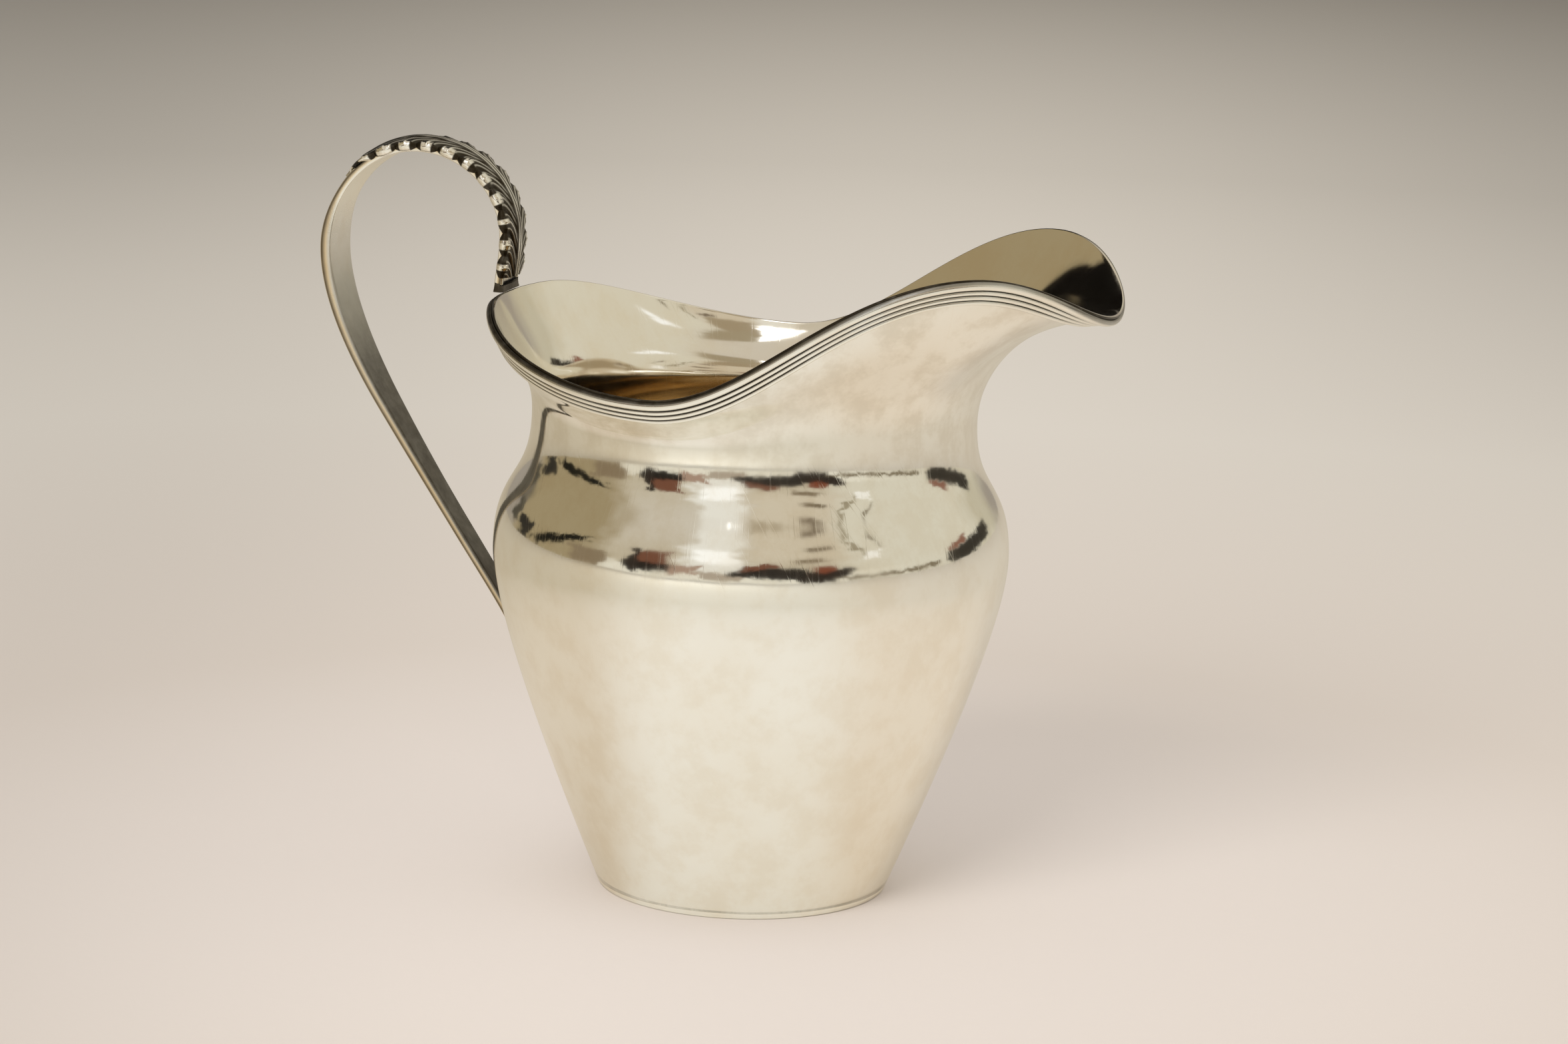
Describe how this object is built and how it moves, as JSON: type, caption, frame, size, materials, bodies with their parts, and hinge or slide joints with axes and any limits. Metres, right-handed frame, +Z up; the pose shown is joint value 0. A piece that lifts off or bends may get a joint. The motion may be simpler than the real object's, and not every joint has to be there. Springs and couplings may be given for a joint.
{
  "type": "milk jug",
  "caption": "Silver milk jug with a tapering body, drawn-in neck, waved helmet lip with a reeded rim, and a looped strap handle topped by a cast leaf.",
  "frame": {"origin": "middle of the base's underside", "axes": "+Z up, +X towards the spout, the handle towards -X, so the plane of the handle is XZ"},
  "size_m": [0.1211, 0.0798, 0.1092],
  "materials": {
    "polished_silver": "polished sterling silver with fine wiping scratches",
    "worn_silver": "polished silver worn softer, dark in its grooves",
    "oxidised_silver": "cast silver, bright on its high spots and oxidised dark in its recesses",
    "silver_solder": "dull silver solder"
  },
  "bodies": {
    "root": {"body_shell": "polished_silver", "base_disc": "polished_silver", "base_seam_solder": "silver_solder", "rim_wire": "worn_silver", "handle_strap": "worn_silver", "handle_leaf": "oxidised_silver", "handle_top_solder": "silver_solder", "handle_foot_solder": "silver_solder"}
  },
  "joints": []
}
